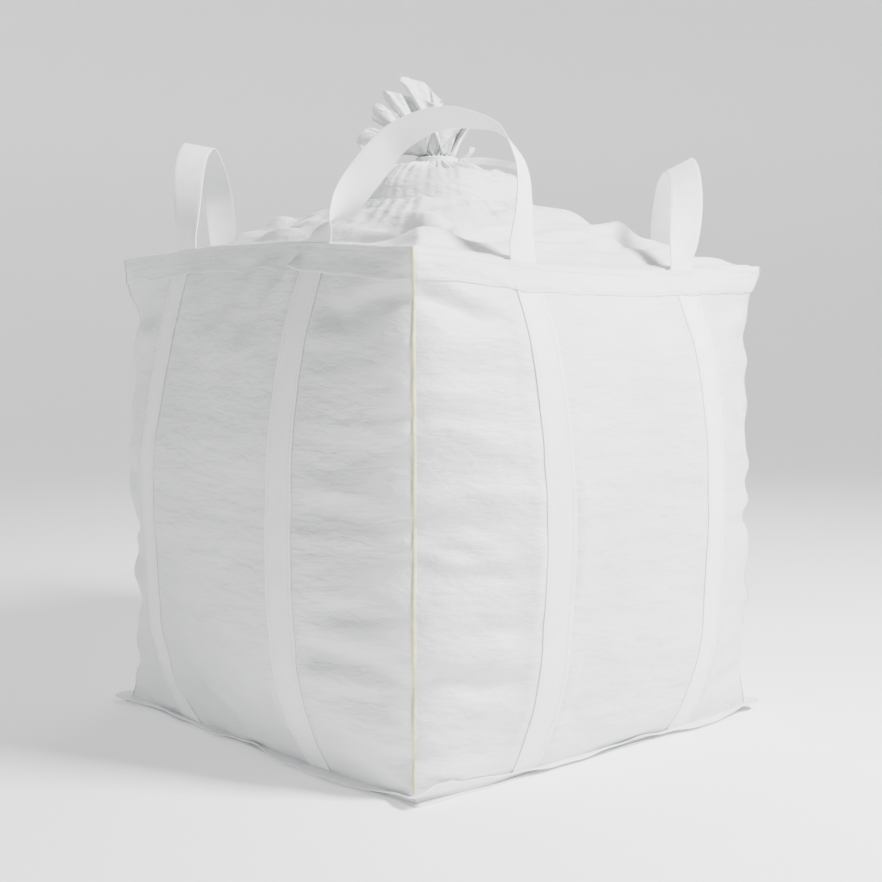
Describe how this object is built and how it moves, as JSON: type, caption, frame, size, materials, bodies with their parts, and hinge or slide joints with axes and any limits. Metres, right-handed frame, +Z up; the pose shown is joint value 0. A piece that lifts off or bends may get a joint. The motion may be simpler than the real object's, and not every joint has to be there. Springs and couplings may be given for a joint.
{
  "type": "bulk bag",
  "caption": "Filled square bulk bag of white woven cloth with cross-corner lifting loops, webbing legs, a turned-out base seam and a tied fill spout.",
  "frame": {"origin": "centre of the base panel's underside, on the floor", "axes": "+Z up through the fill spout; +X and +Y are square to the side faces; the front corner is between +X and -Y; the tie's tails point between +X and +Y"},
  "size_m": [1.111, 1.111, 1.2681],
  "materials": {
    "body_cloth": "satin",
    "seam_cloth": "satin",
    "top_cloth": "satin",
    "spout_cloth": "satin",
    "tie_tape": "matte",
    "webbing": "matte",
    "marker_yarn": "satin",
    "baffle_cloth": "satin",
    "contents": "matte"
  },
  "bodies": {
    "bag": {"body_tube": "body_cloth", "base_panel": "body_cloth", "base_seam_flange": "seam_cloth", "rim_hem": "seam_cloth", "top_panel": "top_cloth", "fill_spout": "spout_cloth", "spout_seam": "seam_cloth", "spout_tie": "tie_tape", "tie_knot": "tie_tape", "tie_tail_long": "tie_tape", "tie_tail_short": "tie_tape", "bulk_contents": "contents", "webbing_leg_front_a": "webbing", "webbing_leg_front_b": "webbing", "corner_stripe_front": "marker_yarn", "corner_baffle_front": "baffle_cloth", "webbing_leg_right_a": "webbing", "webbing_leg_right_b": "webbing", "corner_stripe_right": "marker_yarn", "corner_baffle_right": "baffle_cloth", "webbing_leg_back_a": "webbing", "webbing_leg_back_b": "webbing", "corner_stripe_back": "marker_yarn", "corner_baffle_back": "baffle_cloth", "webbing_leg_left_a": "webbing", "webbing_leg_left_b": "webbing", "corner_stripe_left": "marker_yarn", "corner_baffle_left": "baffle_cloth"},
    "loop_front": {"lifting_loop_front": "webbing"},
    "loop_right": {"lifting_loop_right": "webbing"},
    "loop_back": {"lifting_loop_back": "webbing"},
    "loop_left": {"lifting_loop_left": "webbing"},
    "crown": {"spout_crown": "spout_cloth"}
  },
  "joints": [
    {"name": "loop_front_lean", "type": "hinge", "parent": "bag", "child": "loop_front", "pos_m": [0.3292, -0.3292, 0.9], "axis": [0.7071, 0.7071, 0], "range_deg": [-50, 45]},
    {"name": "loop_right_lean", "type": "hinge", "parent": "bag", "child": "loop_right", "pos_m": [0.3292, 0.3292, 0.9], "axis": [-0.7071, 0.7071, 0], "range_deg": [-50, 45]},
    {"name": "loop_back_lean", "type": "hinge", "parent": "bag", "child": "loop_back", "pos_m": [-0.3292, 0.3292, 0.9], "axis": [-0.7071, -0.7071, 0], "range_deg": [-50, 45]},
    {"name": "loop_left_lean", "type": "hinge", "parent": "bag", "child": "loop_left", "pos_m": [-0.3292, -0.3292, 0.9], "axis": [0.7071, -0.7071, 0], "range_deg": [-50, 45]},
    {"name": "crown_tilt", "type": "hinge", "parent": "bag", "child": "crown", "pos_m": [0, 0, 1.1121], "axis": [0.7071, -0.7071, 0], "range_deg": [-50, 33]}
  ]
}
